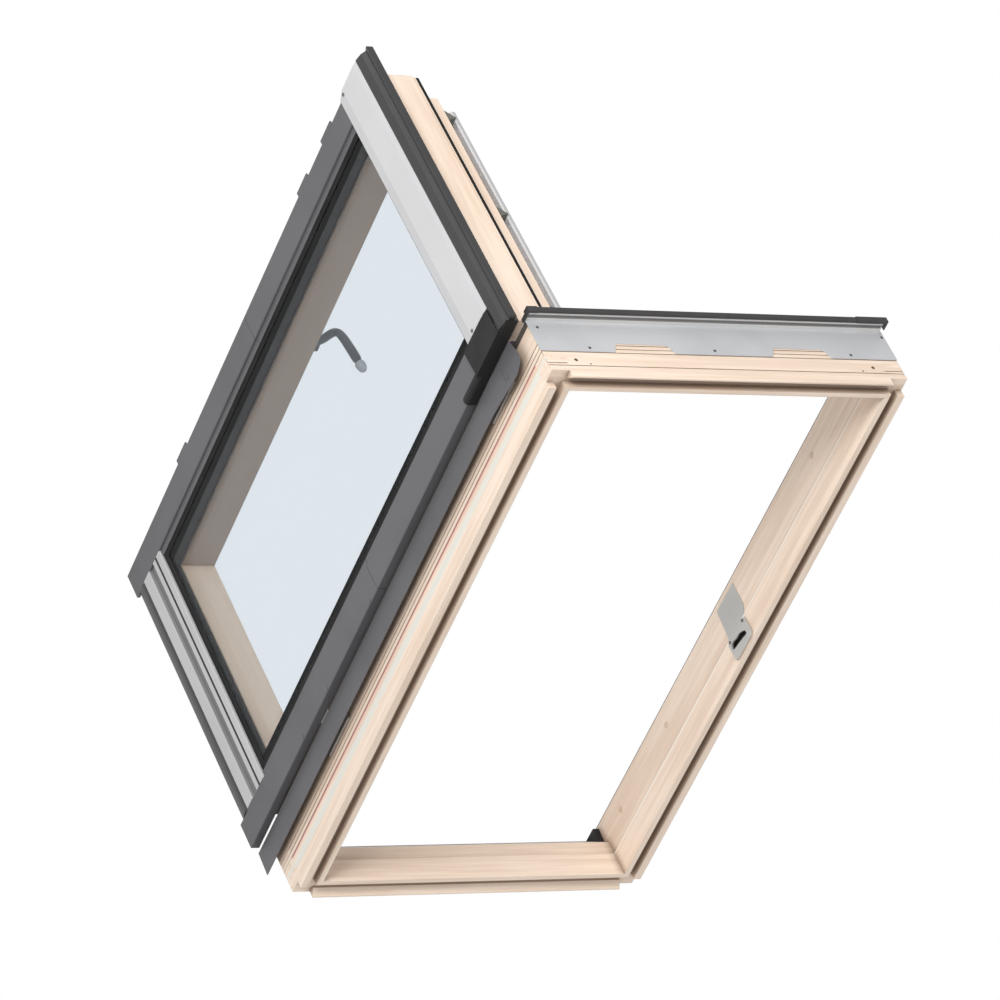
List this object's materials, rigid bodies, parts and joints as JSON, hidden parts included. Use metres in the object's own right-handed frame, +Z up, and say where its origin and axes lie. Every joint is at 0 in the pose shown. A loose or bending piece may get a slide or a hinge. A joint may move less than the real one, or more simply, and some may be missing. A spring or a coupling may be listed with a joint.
{
  "type": "roof window",
  "caption": "Side-hung roof window with a wooden frame, a glazed sash swung open on its hinges, metal outer cladding, a lever handle with its lock and a ventilation flap with a control bar.",
  "frame": {"origin": "middle of the sill's underside, in the plane of the installation line behind the room face", "axes": "+X along the sill towards the lock side, +Y from the room to the outside, +Z up the window's height"},
  "size_m": [0.7149, 0.784, 1.2263],
  "materials": {
    "wood": "clear lacquer, satin",
    "wood_plug": "clear lacquer, satin",
    "dark_cladding": "satin",
    "silver_cladding": "satin",
    "zinc_sheet": "matte",
    "steel": "satin",
    "aluminium": "satin",
    "rubber": "matte",
    "glass": "clear",
    "handle_paint": "satin",
    "grey_plastic": "matte",
    "dark_plastic": "matte"
  },
  "bodies": {
    "frame": {"frame_head": "wood", "frame_sill": "wood", "frame_left_jamb": "wood", "frame_right_jamb": "wood", "wood_plugs": "wood_plug", "head_sheet": "zinc_sheet", "head_sheet_screws": "steel", "head_profile": "silver_cladding", "head_casing": "dark_cladding", "head_casing_end_left": "dark_cladding", "head_casing_end_right": "dark_cladding", "frame_cover_left": "dark_cladding", "frame_cover_right": "dark_cladding", "frame_cover_screws": "steel", "sill_cover": "dark_cladding", "sill_corner_pieces": "dark_plastic", "lock_keep": "steel", "lock_keep_screws": "steel", "striker_plate": "steel", "lower_hinge_frame_leaf": "steel", "upper_hinge_frame_leaf": "steel", "hinge_pins": "steel"},
    "sash": {"hinge_screws": "steel", "lower_hinge_sash_leaf": "steel", "upper_hinge_sash_leaf": "steel", "sash_hinge_stile": "wood", "sash_lock_stile": "wood", "sash_top_rail": "wood", "sash_bottom_rail": "wood", "sash_seal": "rubber", "glazing_tape": "rubber", "pane_inner": "glass", "pane_spacer": "aluminium", "pane_edge_seal": "rubber", "pane_outer": "glass", "outer_glazing_seal": "rubber", "sash_cover_hinge_lower": "dark_cladding", "sash_cover_hinge_upper": "dark_cladding", "sash_cover_lock_lower": "dark_cladding", "sash_cover_lock_upper": "dark_cladding", "sash_cover_bottom": "silver_cladding", "sash_cover_top": "silver_cladding", "sash_top_profile": "dark_cladding", "hinge_corner_cover": "dark_plastic", "sash_cover_clips": "dark_plastic", "sash_cover_screws": "steel", "lock_case": "handle_paint", "handle_screws": "steel", "flap_hinge_rod": "steel", "flap_hinge_lugs": "steel"},
    "lock_bolt": {"lock_bolt": "steel"},
    "handle": {"handle_lever": "handle_paint", "handle_end_cap": "grey_plastic"},
    "flap": {"vent_flap": "wood", "control_bar": "aluminium", "bar_brackets": "grey_plastic"}
  },
  "joints": [
    {"name": "sash_hinge", "type": "hinge", "parent": "frame", "child": "sash", "pos_m": [-0.331, 0.065, 0.5], "axis": [0, 0, 1], "range_deg": [-90, 0]},
    {"name": "handle_turn", "type": "hinge", "parent": "sash", "child": "handle", "pos_m": [-0.251, 0.643, 0.611], "axis": [1, 0, 0], "range_deg": [0, 90]},
    {"name": "bolt_slide", "type": "slide", "parent": "sash", "child": "lock_bolt", "axis": [0, 1, 0], "range_m": [0, 0.011]},
    {"name": "flap_tilt", "type": "hinge", "parent": "sash", "child": "flap", "pos_m": [-0.2575, 0.445, 1.0915], "axis": [0, 1, 0], "range_deg": [0, 20]}
  ],
  "couplings": [
    {"joint": "bolt_slide", "follows": "handle_turn", "m_per_rad": 0.0070028}
  ]
}
